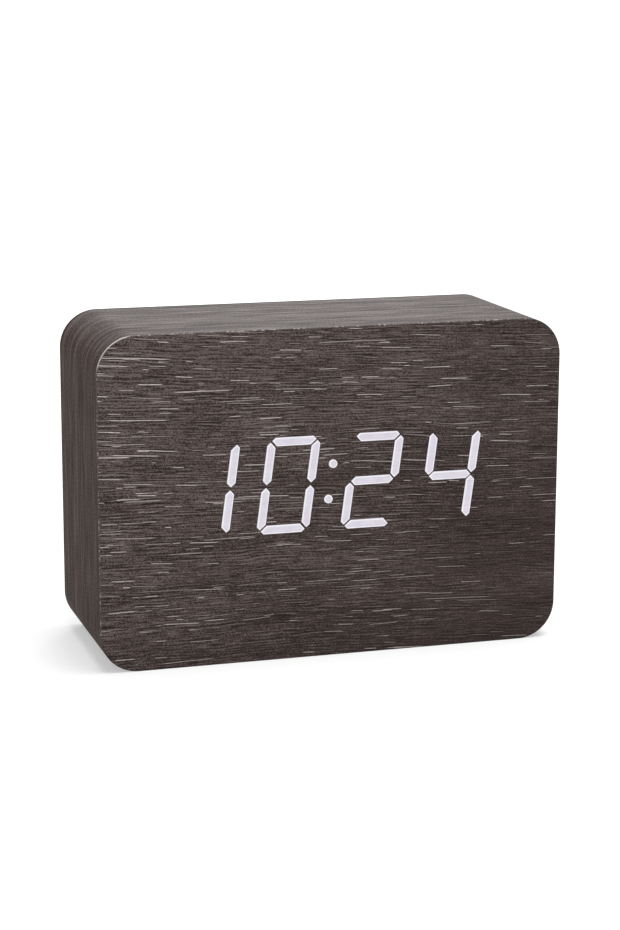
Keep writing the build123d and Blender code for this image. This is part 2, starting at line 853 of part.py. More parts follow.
# Cells, the outer two with the nub to the right and the middle one to the left
plate_x = well_width / 2 - contact_thickness
for row, cell_z in enumerate(cell_zs):
    nub_side = 1 if row % 2 == 0 else -1
    with BuildPart() as cell:
        with BuildSketch(Plane.YZ.offset(nub_side * (plate_x - cell_length))):
            with Locations((cell_y, cell_z)):
                Circle(cell_radius)
        extrude(amount=nub_side * (cell_length - cell_nub_length))
        fillet(cell.edges().filter_by(GeomType.CIRCLE), radius=cell_edge_fillet)
        with BuildSketch(Plane.YZ.offset(nub_side * (plate_x - cell_nub_length))):
            with Locations((cell_y, cell_z)):
                Circle(cell_nub_radius)
        extrude(amount=nub_side * cell_nub_length)
    cell.part.label = f"battery_cell_{row + 1}"
    export_step(cell.part, f"parts/battery_cell_{row + 1}.step")


def add_contact(side, rows, sprung_rows):
    """Adds one plate on the end wall at side, across rows of cells, with a bow in each sprung row."""
    low_z = cell_zs[rows[0]] - contact_width / 2
    high_z = cell_zs[rows[-1]] + contact_width / 2
    wall_x = side * well_width / 2
    with BuildSketch(Plane.YZ.offset(wall_x)) as plate:
        with Locations((cell_y, (low_z + high_z) / 2)):
            Rectangle(contact_width, high_z - low_z)
    extrude(plate.sketch, amount=-side * contact_thickness)
    reach = contact_spring_reach + contact_thickness
    for row in sprung_rows:
        spring_bottom_z = cell_zs[row] - contact_spring_width / 2
        with BuildSketch(Plane.XY.offset(spring_bottom_z)) as spring:
            with BuildLine():
                outer_low = (wall_x, cell_y - contact_width / 2)
                outer_high = (wall_x, cell_y + contact_width / 2)
                inner_low = (wall_x, outer_low[1] + contact_thickness)
                inner_high = (wall_x, outer_high[1] - contact_thickness)
                ThreePointArc(outer_low, (wall_x - side * reach, cell_y), outer_high)
                Line(outer_high, inner_high)
                ThreePointArc(
                    inner_high, (wall_x - side * contact_spring_reach, cell_y), inner_low
                )
                Line(inner_low, outer_low)
            make_face()
        extrude(spring.sketch, amount=contact_spring_width)


with BuildPart() as battery_contacts:
    add_contact(1, (2,), ())
    add_contact(1, (0, 1), (1,))
    add_contact(-1, (1, 2), (2,))
    add_contact(-1, (0,), (0,))
battery_contacts.part.label = "battery_contacts"
export_step(battery_contacts.part, "parts/battery_contacts.step")

# Low-voltage inlet

bore_floor_y = cover_back_y - jack_bore_depth
with BuildPart() as dc_jack:
    with BuildSketch(upright(cover_front_y)):
        with Locations(jack_place):
            Rectangle(jack_body_width, jack_body_width)
    extrude(amount=jack_body_depth)
    with BuildSketch(upright(cover_back_y)):
        with Locations(jack_place):
            Circle(jack_nose_radius)
    extrude(amount=cover_thickness)
    with BuildSketch(upright(cover_back_y)):
        with Locations(jack_place):
            Circle(jack_bore_radius)
    extrude(amount=jack_bore_depth, mode=Mode.SUBTRACT)
    with BuildSketch(upright(bore_floor_y)):
        with Locations(jack_place):
            Circle(jack_root_radius)
    extrude(amount=bore_floor_y - jack_back_y, mode=Mode.SUBTRACT)
dc_jack.part.label = "dc_jack"
export_step(dc_jack.part, "parts/dc_jack.step")

with BuildPart() as jack_pin:
    with BuildSketch(upright(cover_back_y - jack_pin_sunk)):
        with Locations(jack_place):
            Circle(jack_pin_radius)
    extrude(amount=jack_bore_depth - jack_pin_sunk)
    with BuildSketch(upright(bore_floor_y)):
        with Locations(jack_place):
            Circle(jack_root_radius)
    extrude(amount=bore_floor_y - jack_back_y + jack_pin_tail)
jack_pin.part.label = "jack_pin"
export_step(jack_pin.part, "parts/jack_pin.step")

with BuildPart() as jack_contacts:
    with BuildSketch(upright(jack_back_y)):
        with Locations(jack_place):
            with GridLocations(2 * jack_tab_offset, 0, 2, 1):
                Rectangle(jack_tab_thickness, jack_tab_width)
    extrude(amount=jack_tab_length)
jack_contacts.part.label = "jack_contacts"
export_step(jack_contacts.part, "parts/jack_contacts.step")

# Leads


def bend_radii(points):
    """Radii for the route's corners: as large as the two runs beside each allow."""
    route = [Vector(*point) for point in points]
    radii = []
    for before, corner, after in zip(route, route[1:], route[2:]):
        run_in = corner - before
        run_out = after - corner
        half_turn = math.radians(run_in.get_angle(run_out)) / 2
        shorter_run = min(run_in.length, run_out.length)
        radii.append(bend_share * shorter_run / math.tan(half_turn))
    return radii


def add_lead(points):
    """Adds a round lead along the route to the part in hand."""
    with BuildLine() as route:
        FilletPolyline(*points, radius=bend_radii(points))
    path = route.wire()
    with BuildSketch(Plane(origin=path @ 0, z_dir=path % 0)) as section:
        Circle(lead_radius)
    sweep(section.sketch, path=path)
    radii = [round(radius, 1) for radius in bend_radii(points)]
    print("lead of", round(path.length, 1), "mm, bent at radii", radii)


power_x, power_z = on_main_board(power_socket_place_share)
battery_x, battery_z = on_main_board(battery_socket_place_share)
inner_room = well_floor_y - well_wall - socket_top_y
high_turn_y = socket_top_y + power_turn_shares[0] * inner_room
low_turn_y = socket_top_y + power_turn_shares[1] * inner_room
with BuildPart() as power_leads:
    for lead_x, start_x, start_y in (
        (power_x - lead_spacing / 2, jack_x, jack_back_y - jack_pin_tail),
        (power_x + lead_spacing / 2, jack_x + jack_tab_offset, jack_back_y - jack_tab_length),
    ):
        add_lead(
            [
                (start_x, start_y, jack_z),
                (start_x, high_turn_y, jack_z),
                (lead_x, low_turn_y, power_z),
                (lead_x, socket_top_y, power_z),
            ]
        )
power_leads.part.label = "power_leads"
export_step(power_leads.part, "parts/power_leads.step")

well_side_x = well_width / 2 + well_wall
lead_mid_y = socket_top_y + battery_turn_share * inner_room
with BuildPart() as battery_leads:
    add_lead(
        [
            (well_width / 2, cell_y, cell_zs[-1]),
            (well_side_x + cell_radius, cell_y, cell_zs[-1]),
            (battery_x + lead_spacing / 2, lead_mid_y, battery_z),
            (battery_x + lead_spacing / 2, socket_top_y, battery_z),
        ]
    )
    add_lead(
        [
            (-well_width / 2, cell_y, cell_zs[0]),
            (-well_side_x - cell_radius, cell_y, cell_zs[0]),
            (-well_side_x - cell_radius, lead_mid_y, cell_zs[1]),
            (0, lead_mid_y, battery_z),
            (battery_x - lead_spacing / 2, lead_mid_y, battery_z),
            (battery_x - lead_spacing / 2, socket_top_y, battery_z),
        ]
    )
battery_leads.part.label = "battery_leads"
export_step(battery_leads.part, "parts/battery_leads.step")

ribbon_x, ribbon_z = on_main_board(key_socket_place_share)
ribbon_run = ribbon_turn_share * (key_board_front_y - socket_top_y)
with BuildPart() as key_ribbon:
    ribbon_points = [
        (ribbon_x, key_board_front_y, key_z),
        (ribbon_x, key_board_front_y - ribbon_run, key_z),
        (ribbon_x, socket_top_y + ribbon_run, ribbon_z),
        (ribbon_x, socket_top_y, ribbon_z),
    ]
    with BuildLine() as ribbon_route:
        FilletPolyline(*ribbon_points, radius=bend_radii(ribbon_points))
    with BuildSketch(upright(key_board_front_y)) as ribbon_section:
        with Locations((ribbon_x, key_z)):
            Rectangle(ribbon_width, ribbon_thickness)
    sweep(ribbon_section.sketch, path=ribbon_route.wire())
key_ribbon.part.label = "key_ribbon"
export_step(key_ribbon.part, "parts/key_ribbon.step")
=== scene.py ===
import json
import math

import bmesh
import bpy
from mathutils import Matrix, Vector


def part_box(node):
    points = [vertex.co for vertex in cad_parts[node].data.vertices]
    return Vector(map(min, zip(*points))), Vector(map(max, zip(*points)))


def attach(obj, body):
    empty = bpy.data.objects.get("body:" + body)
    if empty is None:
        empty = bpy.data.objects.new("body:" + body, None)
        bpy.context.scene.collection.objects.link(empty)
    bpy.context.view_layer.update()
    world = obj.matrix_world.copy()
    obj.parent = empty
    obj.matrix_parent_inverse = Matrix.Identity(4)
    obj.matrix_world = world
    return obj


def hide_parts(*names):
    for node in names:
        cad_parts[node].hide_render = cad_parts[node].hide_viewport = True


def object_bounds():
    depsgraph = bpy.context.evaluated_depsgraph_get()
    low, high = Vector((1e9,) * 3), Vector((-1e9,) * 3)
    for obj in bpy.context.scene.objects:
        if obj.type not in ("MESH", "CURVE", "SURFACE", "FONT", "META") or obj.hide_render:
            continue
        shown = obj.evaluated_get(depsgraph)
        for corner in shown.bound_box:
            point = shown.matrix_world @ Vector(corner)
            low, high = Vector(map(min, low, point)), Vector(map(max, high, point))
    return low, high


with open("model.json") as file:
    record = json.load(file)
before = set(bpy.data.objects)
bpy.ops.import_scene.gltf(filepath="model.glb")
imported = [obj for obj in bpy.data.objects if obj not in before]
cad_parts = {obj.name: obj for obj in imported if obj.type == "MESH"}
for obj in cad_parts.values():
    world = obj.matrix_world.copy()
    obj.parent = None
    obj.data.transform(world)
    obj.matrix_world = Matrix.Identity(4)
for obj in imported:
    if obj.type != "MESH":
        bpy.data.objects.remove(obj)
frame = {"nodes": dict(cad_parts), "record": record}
cad_low, cad_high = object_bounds()
nodes = frame["nodes"]
mm = 0.001

# Camera: the photograph's viewing angle
view_azimuth = -16.991
view_elevation = 12.171
view_roll = 0.147
view_target = Vector((-7.99 * mm, cad_low.y, 61.95 * mm))
view_distance = 719.99 * mm
focal_pixels = 2320
image_height = 930
sensor_size = 36

# Light
sky_strength = 0.3
background_strength = 1.0
overhead_strength = 3.0
overhead_spread = 40.0
overhead_place = Vector((0.1, -0.1, 1.0))
key_power = 2.0
key_size = 0.5
key_place = Vector((-0.3, -0.85, 0.6))
back_power = 6.0
back_size = 0.45
back_place = Vector((0.29, 0.95, 0.65))
floor_size = 60.0
floor_shade = 0.5
floor_glow = 0.45


def shade(red, green, blue):
    """A colour given by its 0 to 255 display values, as the linear values that a shader takes."""
    linear = []
    for part in (red / 255, green / 255, blue / 255):
        linear.append(part / 12.92 if part < 0.04045 else ((part + 0.055) / 1.055) ** 2.4)
    return (*linear, 1.0)


class Finish:
    """A material and short ways to write its nodes. Inputs may be numbers, tuples or other nodes' outputs."""

    def __init__(self, name, roughness=0.5, specular=0.5, metallic=0.0):
        self.material = bpy.data.materials.new(name)
        self.material.use_nodes = True
        self.tree = self.material.node_tree
        self.tree.nodes.clear()
        output = self.tree.nodes.new("ShaderNodeOutputMaterial")
        self.surface = self.tree.nodes.new("ShaderNodeBsdfPrincipled")
        self.tree.links.new(self.surface.outputs[0], output.inputs["Surface"])
        self.set("Roughness", roughness)
        self.set("Specular IOR Level", specular)
        self.set("Metallic", metallic)
        coordinates = self.tree.nodes.new("ShaderNodeTexCoord").outputs["Object"]
        self.place = self.vector("MULTIPLY", coordinates, (1 / mm,) * 3)
        self.x, self.y, self.z = self.split(self.place)

    def put(self, socket, value):
        if isinstance(value, bpy.types.NodeSocket):
            self.tree.links.new(value, socket)
        else:
            socket.default_value = value

    def set(self, name, value):
        self.put(self.surface.inputs[name], value)

    def node(self, kind, inputs=(), **settings):
        made = self.tree.nodes.new(kind)
        for name, value in settings.items():
            setattr(made, name, value)
        for name, value in dict(inputs).items():
            self.put(made.inputs[name], value)
        return made

    def math(self, operation, *values):
        inputs = dict(enumerate(values))
        return self.node("ShaderNodeMath", inputs, operation=operation).outputs[0]

    def add(self, *values):
        total = values[0]
        for value in values[1:]:
            total = self.math("ADD", total, value)
        return total

    def times(self, *values):
        product = values[0]
        for value in values[1:]:
            product = self.math("MULTIPLY", product, value)
        return product

    def less(self, value, taken):
        return self.math("SUBTRACT", value, taken)

    def vector(self, operation, *values):
        inputs = dict(enumerate(values))
        return self.node("ShaderNodeVectorMath", inputs, operation=operation).outputs[0]

    def split(self, value):
        return self.node("ShaderNodeSeparateXYZ", {0: value}).outputs[:]

    def join(self, x=0.0, y=0.0, z=0.0):
        return self.node("ShaderNodeCombineXYZ", {0: x, 1: y, 2: z}).outputs[0]

    def noise(self, sizes, detail, roughness=0.5, place=None, shift=0.0):
        """Noise from 0 to 1 with features of these sizes in millimetres along x, y and z."""
        shares = tuple(1 / size if size else 0.0 for size in sizes)
        scaled = self.vector("MULTIPLY", self.place if place is None else place, shares)
        moved = self.vector("ADD", scaled, (shift, shift, shift))
        inputs = {"Vector": moved, "Scale": 1.0, "Detail": detail, "Roughness": roughness}
        return self.node("ShaderNodeTexNoise", inputs).outputs["Fac"]

    def swing(self, sizes, amount, detail, roughness=0.5, place=None, shift=0.0):
        """The same noise about nought, up to about the amount each way."""
        level = self.noise(sizes, detail, roughness, place, shift)
        return self.times(self.less(level, 0.5), 2 * amount)

    def chance(self, x, y, z):
        """Three numbers from 0 to 1, fixed for each whole x, y and z."""
        spot = self.join(x, y, z)
        colour = self.node("ShaderNodeTexWhiteNoise", {"Vector": spot}).outputs["Color"]
        return self.node("ShaderNodeSeparateColor", {0: colour}).outputs[:]

    def fade(self, value, low, high, to_low=0.0, to_high=1.0):
        """A smooth step of the value from low to high."""
        inputs = {"Value": value, "From Min": low, "From Max": high, "To Min": to_low, "To Max": to_high}
        return self.node("ShaderNodeMapRange", inputs, interpolation_type="SMOOTHSTEP").outputs[0]

    def most(self, *values):
        greatest = values[0]
        for value in values[1:]:
            greatest = self.math("MAXIMUM", greatest, value)
        return greatest

    def size_of(self, value):
        return self.math("ABSOLUTE", value)

    def within(self, value, half, soft=0.06):
        """1 where the value is less than half from nought, either way."""
        return self.fade(self.size_of(value), half + soft, half - soft)

    def distance(self, across, up, middle):
        """How far a point is from a middle, in a plane."""
        side = self.less(across, middle[0])
        rise = self.less(up, middle[1])
        return self.math("SQRT", self.add(self.times(side, side), self.times(rise, rise)))

    def disc(self, across, up, middle, radius, soft=0.06):
        return self.fade(self.distance(across, up, middle), radius + soft, radius - soft)

    def ring(self, across, up, middle, radius, half, soft=0.06):
        return self.within(self.less(self.distance(across, up, middle), radius), half, soft)

    def bar(self, across, up, middle, half_width, half_height):
        return self.times(
            self.within(self.less(across, middle[0]), half_width),
            self.within(self.less(up, middle[1]), half_height),
        )

    def triangle(self, across, up, middle, half, rise):
        """A triangle on a level base, its point up where the rise is more than nought."""
        height = self.times(self.less(up, middle[1]), 1 / rise)
        side = self.size_of(self.less(across, middle[0]))
        slack = self.less(self.times(self.less(1.0, height), half), side)
        return self.times(self.fade(slack, -0.06, 0.06), self.fade(height, -0.04, 0.04))

    def repeat(self, value, start, pitch):
        """The distance from the middle of the nearest of a row of places, either way."""
        turn = self.math("FRACT", self.add(self.times(self.less(value, start), 1 / pitch), 0.5))
        return self.times(self.less(turn, 0.5), pitch)

    def normal(self):
        """The surface's direction in the piece's own frame, so that it turns with a moving piece."""
        return self.split(self.node("ShaderNodeTexCoord").outputs["Normal"])

    def faces_back(self):
        """1 on what faces the back, else 0."""
        return self.fade(self.normal()[1], 0.9, 0.98)

    def mix(self, share, first, second):
        made = self.node("ShaderNodeMix", data_type="RGBA")
        self.put(made.inputs["Factor"], share)
        self.put(made.inputs[6], first)
        self.put(made.inputs[7], second)
        return made.outputs[2]

    def ramp(self, value, *stops):
        """A colour ramp through (place, colour) stops."""
        made = self.node("ShaderNodeValToRGB", {0: value})
        elements = made.color_ramp.elements
        while len(elements) < len(stops):
            elements.new(1.0)
        for element, (place, colour) in zip(elements, stops):
            element.position = place
            element.color = colour
        return made.outputs["Color"]

    def bump(self, height, depth, strength):
        """A bump of this depth in millimetres."""
        inputs = {"Height": height, "Distance": depth * mm, "Strength": strength}
        self.set("Normal", self.node("ShaderNodeBump", inputs).outputs["Normal"])


# Films

film_deep = shade(33, 26, 24)
film_dark = shade(53, 43, 41)
film_middle = shade(72, 60, 58)
film_light = shade(93, 81, 78)
film_pale = shade(121, 109, 105)
film_streak = shade(238, 227, 223)
# Colour of the painted highlight on the front film's bevel
film_edge_highlight = shade(214, 207, 200)
grain_slope = 0.038
corner_radius = 12.0
face_middle_z = 52.5

# Cell length, row height, share of the cells that have a streak, and seed
streak_layers = ((29.0, 2.9, 0.5, 1.0), (17.0, 2.1, 0.38, 2.0), (9.5, 1.6, 0.15, 3.0))


def streaks(finish, x, z, cell, row, share, seed):
    """Short straight streaks along x, at most one to a cell of this length in a row of this height.

    Gives the pale line of each streak and the fine grooves beside it, which the film's tone also darkens as
    painted shade. The share is that of the cells that have a streak.
    """
    groove_offset = 0.36
    groove_reach = 0.22
    row_number = finish.math("FLOOR", finish.times(z, 1 / row))
    row_shift = finish.chance(row_number, seed, 0.5)[0]
    along = finish.add(finish.times(x, 1 / cell), finish.times(row_shift, 31.0))
    cell_number = finish.math("FLOOR", along)
    length_luck, place_luck, height_luck = finish.chance(cell_number, row_number, seed)
    slope_luck, strength, show_luck = finish.chance(cell_number, row_number, seed + 40.0)
    reach = finish.add(0.12, finish.times(length_luck, length_luck, 0.34))
    slack = finish.less(1.0, finish.times(reach, 2.0))
    middle = finish.add(cell_number, 0.5, finish.times(finish.less(place_luck, 0.5), slack))
    offset = finish.less(along, middle)
    end_share = finish.math("DIVIDE", finish.size_of(offset), reach)
    slope = finish.times(finish.less(slope_luck, 0.5), offset, cell * 0.06)
    height = finish.times(finish.add(row_number, 0.3, finish.times(height_luck, 0.4)), row)
    across = finish.less(z, finish.add(height, slope))
    taper = finish.fade(end_share, 1.0, 0.7)
    half = finish.times(taper, finish.add(0.07, finish.times(strength, 0.04)))
    line = finish.fade(finish.size_of(across), finish.add(half, 0.06), finish.less(half, 0.06))
    shown = finish.fade(show_luck, share, finish.less(share, 0.04))
    pale = finish.times(line, taper, shown, finish.add(0.4, finish.times(strength, 0.6)))
    beside = finish.size_of(finish.less(finish.size_of(across), groove_offset))
    shaded_groove = finish.times(finish.fade(beside, groove_reach, 0.0), taper, shown)
    return pale, shaded_groove


def front_film():
    """Printed wood-grain film, its grain falling slightly to the right: bands, pores and pale streaks."""
    finish = Finish("front_film", specular=0.12)
    turn_x = -20.0
    turn_z = 57.0
    row_pitch = 0.96
    bevel_slant = 0.707
    rise = finish.less(finish.z, face_middle_z)

    def by_place(middle, to_right, upwards):
        """A number that changes evenly over the face: at its middle, and its change for each millimetre."""
        return finish.add(middle, finish.times(finish.x, to_right), finish.times(rise, upwards))

    # The grain falls more steeply at the upper left and less at the lower left
    left_share = finish.math("MINIMUM", finish.less(finish.x, turn_x), 0.0)
    left_turn = finish.times(finish.less(finish.z, turn_z), left_share, 0.0008)
    drift = finish.add(
        finish.z,
        finish.times(finish.x, grain_slope),
        left_turn,
        finish.swing((60, 1, 22), 1.6, detail=1.0),
        finish.swing((14, 1, 5), 0.3, detail=1.0, shift=9.0),
    )
    grain = finish.join(finish.x, 0.0, drift)
    bands = finish.swing((75, 1, 9), 0.36, detail=2.0, place=grain)
    patches = finish.swing((30, 1, 12), 0.16, detail=1.0, place=grain, shift=41.0)
    combed = finish.fade(finish.noise((34, 1, 6), 1.0, place=grain, shift=17.0), 0.38, 0.6, 0.45, 1.0)
    lines = finish.swing((16, 1, 0.34), 0.6, detail=0.0, place=grain, shift=3.0)
    pores = finish.fade(finish.noise((7, 1, 0.36), 0.0, place=grain, shift=14.0), 0.55, 0.66)
    fibres = finish.swing((5, 1, 0.24), 0.6, detail=0.0, place=grain, shift=6.0)
    speckle = finish.swing((0.2, 1, 0.17), 1.1, detail=0.0, shift=2.0)
    # Combed rows, about a millimetre apart, that come and go
    row_turn = finish.add(
        finish.times(drift, 2 * math.pi / row_pitch),
        finish.swing((22, 1, 4), 7.5, detail=1.0, place=grain, shift=25.0),
    )
    row_strength = finish.fade(finish.noise((9, 1, 1.3), 1.0, place=grain, shift=33.0), 0.4, 0.62)
    rows = finish.times(finish.math("SINE", row_turn), row_strength, 0.56)
    pits = finish.times(finish.less(pores, 0.25), -0.24)
    # Painted shade: the film's tone and the contrast of its grain fall evenly from the upper left to the
    # lower right, as the light on the face does
    shaded_contrast = by_place(0.88, -0.0042, 0.004)
    tone = finish.add(
        by_place(0.505, -0.0012, 0.0016), bands, patches,
        finish.times(shaded_contrast, combed, finish.add(lines, rows, pits)),
        finish.times(shaded_contrast, finish.add(fibres, speckle)),
    )
    # Streaks come in groups, more of them up and to the left
    groups = finish.swing((32, 1, 9), 2.4, detail=1.0, place=grain, shift=21.0)
    plenty = finish.add(by_place(1.0, -0.004, 0.004), groups)
    pale = 0.0
    shaded_grooves = 0.0
    for cell, row, share, seed in streak_layers:
        layer, shaded_groove = streaks(finish, finish.x, drift, cell, row, finish.times(plenty, share), seed)
        pale = finish.most(pale, layer)
        shaded_grooves = finish.most(shaded_grooves, shaded_groove)
    # The fine grooves beside the streaks are sunk in the bump and painted darker as painted shade
    tone = finish.add(tone, finish.times(shaded_grooves, -0.26))
    colour = finish.ramp(
        tone,
        (0.0, film_deep), (0.25, film_dark), (0.5, film_middle), (0.75, film_light), (1.0, film_pale),
    )
    wear = finish.noise((1.3, 1, 0.6), 2.0, place=grain, shift=30.0)
    worn = finish.fade(wear, 0.25, 0.6, 0.6, 1.0)
    # The streaks dim towards the lower right too, as painted shade
    pale = finish.times(pale, worn, by_place(0.8, -0.0032, 0.0032))
    colour = finish.mix(pale, colour, film_streak)
    # On the bevel a painted highlight lies at the upper left corner and in dots along the left and the top,
    # and elsewhere the edge is painted dark as painted shade
    toward = finish.normal()
    bevel = finish.within(finish.less(finish.size_of(toward[1]), bevel_slant), 0.15, 0.05)
    upper_left = finish.less(toward[2], toward[0])
    corner_highlight = finish.fade(upper_left, 0.74, 0.88, 0.0, 0.75)
    highlight_dots = finish.fade(finish.noise((0.8, 0.8, 0.8), 1.0, shift=50.0), 0.54, 0.7, 0.1, 0.6)
    highlight_dots = finish.times(highlight_dots, finish.fade(upper_left, 0.3, 0.6))
    edge_colour = finish.mix(finish.most(corner_highlight, highlight_dots), film_deep, film_edge_highlight)
    finish.set("Base Color", finish.mix(bevel, colour, edge_colour))
    finish.set("Roughness", finish.fade(tone, 0.1, 0.8, 0.66, 0.5))
    finish.bump(finish.add(tone, finish.times(pale, -0.4)), 0.04, 0.5)
    return finish.material


def round_profile(finish):
    """The way along the case's rounded outline from the middle of its top, and the depth below it."""
    middle = (cad_low + cad_high) / (2 * mm)
    straight_x = cad_high.x / mm - corner_radius
    straight_z = (cad_high.z - cad_low.z) / (2 * mm) - corner_radius
    side = finish.less(finish.x, middle.x)
    rise = finish.less(finish.z, middle.z)
    width = finish.size_of(side)
    upper = finish.math("SIGN", rise)
    beyond_x = finish.less(width, straight_x)
    beyond_z = finish.less(finish.size_of(rise), straight_z)
    corner_x = finish.most(beyond_x, 0.0)
    corner_z = finish.times(finish.most(beyond_z, 0.0), upper)
    turn = finish.math("ARCTAN2", corner_x, corner_z)
    level = finish.times(finish.math("MINIMUM", beyond_x, 0.0), upper)
    upright = finish.most(finish.math("MINIMUM", rise, straight_z), -straight_z)
    along = finish.add(
        straight_x + straight_z, level, finish.times(turn, corner_radius), finish.times(upright, -1.0)
    )
    outward = finish.distance(corner_x, corner_z, (0.0, 0.0))
    depth = finish.less(corner_radius, outward)
    return finish.times(along, finish.math("SIGN", side)), depth


def wrap_film():
    """The same film round the sides, seen along its grain: long fine soft lines that follow the outline."""
    finish = Finish("wrap_film", roughness=0.5, specular=0.008)
    fold_start = 26.6
    fold_end = 27.8
    along, depth = round_profile(finish)
    across = finish.less(finish.y, depth)
    grain = finish.join(along, across, 0.0)
    wave = finish.swing((70, 20, 1), 1.2, detail=1.0, place=grain, shift=7.0)
    grain = finish.join(along, finish.add(across, wave), 0.0)
    bands = finish.swing((120, 9, 1), 0.4, detail=1.0, place=grain)
    lines = finish.swing((60, 2.6, 1), 0.65, detail=1.0, place=grain, shift=5.0)
    fine = finish.swing((14, 1.2, 1), 0.9, detail=1.0, place=grain, shift=12.0)
    speckle = finish.swing((0.6, 0.9, 1), 0.9, detail=1.0, place=grain, shift=2.0)
    fold = finish.fade(finish.y, fold_start, fold_end, 0.0, -0.7)
    tone = finish.add(0.5, bands, lines, fine, speckle, fold)
    sides = finish.ramp(
        tone, (0.0, shade(45, 32, 28)), (0.5, shade(74, 60, 56)), (1.0, shade(104, 91, 87))
    )
    # Painted sheen: what faces up is painted lighter and greyer, as a sheen would take the brown out of the
    # film's top
    painted_sheen = finish.ramp(
        tone, (0.0, shade(50, 43, 42)), (0.5, shade(80, 73, 72)), (1.0, shade(111, 103, 102))
    )
    top_sheen_share = finish.fade(finish.normal()[2], 0.3, 1.0)
    finish.set("Base Color", finish.mix(top_sheen_share, sides, painted_sheen))
    finish.bump(tone, 0.03, 0.4)
    return finish.material


def lit_segment(name, low, high):
    """The lit display seen through the film: an even lavender white with a trace of the grain."""
    finish = Finish(name, roughness=0.5, specular=0.2)
    finish.set("Base Color", (0.02, 0.02, 0.02, 1.0))
    grain = finish.swing((3.5, 1, 0.25), 0.5, detail=2.0)
    cloud = finish.swing((3, 1, 3), 0.3, detail=1.0, shift=4.0)
    tone = finish.add(0.5, grain, cloud)
    finish.set("Emission Color", finish.ramp(tone, (0.0, low), (1.0, high)))
    finish.set("Emission Strength", 1.0)
    return finish.material


def plain_plastic(name, colour, roughness, specular, grain_size, grain_depth):
    """Moulded plastic with a fine spark texture and faint unevenness of colour."""
    finish = Finish(name, specular=specular)
    cloud = finish.noise((9, 9, 9), 3.0)
    dark = tuple(part * 0.86 for part in colour[:3]) + (1.0,)
    light = tuple(min(part * 1.14, 1.0) for part in colour[:3]) + (1.0,)
    finish.set("Base Color", finish.ramp(cloud, (0.3, dark), (0.7, light)))
    spark = finish.noise((grain_size, grain_size, grain_size), 2.0, 0.6, shift=7.0)
    finish.set("Roughness", finish.fade(spark, 0.3, 0.7, roughness + 0.08, roughness - 0.08))
    finish.bump(spark, grain_depth, 0.7)
    return finish.material


def middle_of(name):
    """The middle of a node, in millimetres."""
    low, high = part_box(name)
    return (Vector(low) + Vector(high)) / (2 * mm)


def half_of(name):
    """Half of a node's size along each axis, in millimetres."""
    low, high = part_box(name)
    return (Vector(high) - Vector(low)) / (2 * mm)


# Back cover and keys

print_white = shade(205, 204, 200)


def cover_plastic():
    """Black moulded plastic with a spark texture, and plain white symbols by the keys and the inlet."""
    finish = Finish("cover_plastic", specular=0.35)
    cloud = finish.swing((14, 14, 14), 0.22, detail=2.0)
    spark = finish.noise((0.55, 0.55, 0.55), 2.0, 0.6, shift=7.0)
    tone = finish.add(0.5, cloud, finish.times(finish.less(spark, 0.5), 1.3))
    colour = finish.ramp(tone, (0.1, shade(31, 30, 30)), (0.5, shade(41, 40, 40)), (0.9, shade(54, 53, 52)))
    key_symbol_rise = 5.6
    sign_rise = 8.2
    arrow_drop = 9.0
    ring_half = 0.2
    dash_half = 0.17
    pole_reach = 4.3
    pole_length = 0.85
    pole_half = 0.19
    places = {key: middle_of(f"{key}_button") for key in ("set", "up", "down")}
    symbol_z = places["set"].z + key_symbol_rise
    x, z = finish.x, finish.z
    inlet = middle_of("dc_jack")
    sign_z = inlet.z + sign_rise
    door = middle_of("battery_door")
    arrow_z = door.z + half_of("battery_door").z - arrow_drop
    symbols = finish.most(
        finish.ring(x, z, (places["set"].x, symbol_z), 1.0, ring_half),
        finish.triangle(x, z, (places["up"].x, symbol_z - 1.0), 1.3, 2.1),
        finish.triangle(x, z, (places["down"].x, symbol_z + 1.0), 1.3, -2.1),
        finish.triangle(x, z, (door.x, arrow_z), 1.5, -2.0),
        finish.disc(x, z, (inlet.x, sign_z), 0.6),
        finish.times(
            finish.ring(x, z, (inlet.x, sign_z), 1.6, ring_half),
            finish.fade(finish.less(x, inlet.x), 0.8, 1.0, 1.0, 0.0),
        ),
        finish.bar(x, z, (inlet.x + 1.7, sign_z), 1.3, dash_half),
        finish.bar(x, z, (inlet.x - 2.3, sign_z), 0.6, dash_half),
        finish.bar(x, z, (inlet.x + pole_reach, sign_z), pole_length, pole_half),
        finish.bar(x, z, (inlet.x + pole_reach, sign_z), pole_half, pole_length),
        finish.bar(x, z, (inlet.x - pole_reach, sign_z), pole_length, pole_half),
    )
    worn = finish.fade(finish.noise((0.5, 0.5, 0.5), 2.0, shift=31.0), 0.25, 0.4, 0.55, 1.0)
    printed = finish.times(symbols, finish.faces_back(), worn)
    finish.set("Base Color", finish.mix(printed, colour, print_white))
    finish.set("Roughness", finish.fade(spark, 0.3, 0.7, 0.62, 0.48))
    finish.bump(spark, 0.035, 0.7)
    return finish.material


def key_plastic():
    """Satin key caps, polished a little where a fingertip lands."""
    finish = Finish("key_plastic", specular=0.45)
    touch_radius = 3.4
    spark = finish.noise((0.4, 0.4, 0.4), 2.0, 0.6, shift=7.0)
    place = middle_of("up_button")
    pitch = middle_of("set_button").x - place.x
    across = finish.repeat(finish.x, place.x, pitch)
    touch = finish.fade(finish.distance(across, finish.z, (0.0, place.z)), touch_radius, 0.6)
    cloud = finish.swing((4, 4, 4), 0.3, detail=2.0)
    tone = finish.add(0.5, cloud, finish.times(finish.less(spark, 0.5), 0.5), finish.times(touch, 0.12))
    finish.set("Base Color", finish.ramp(tone, (0.1, shade(58, 57, 57)), (0.9, shade(92, 91, 90))))
    finish.set("Roughness", finish.less(0.46, finish.times(touch, 0.14)))
    finish.bump(spark, 0.012, 0.6)
    return finish.material


# Inside the case

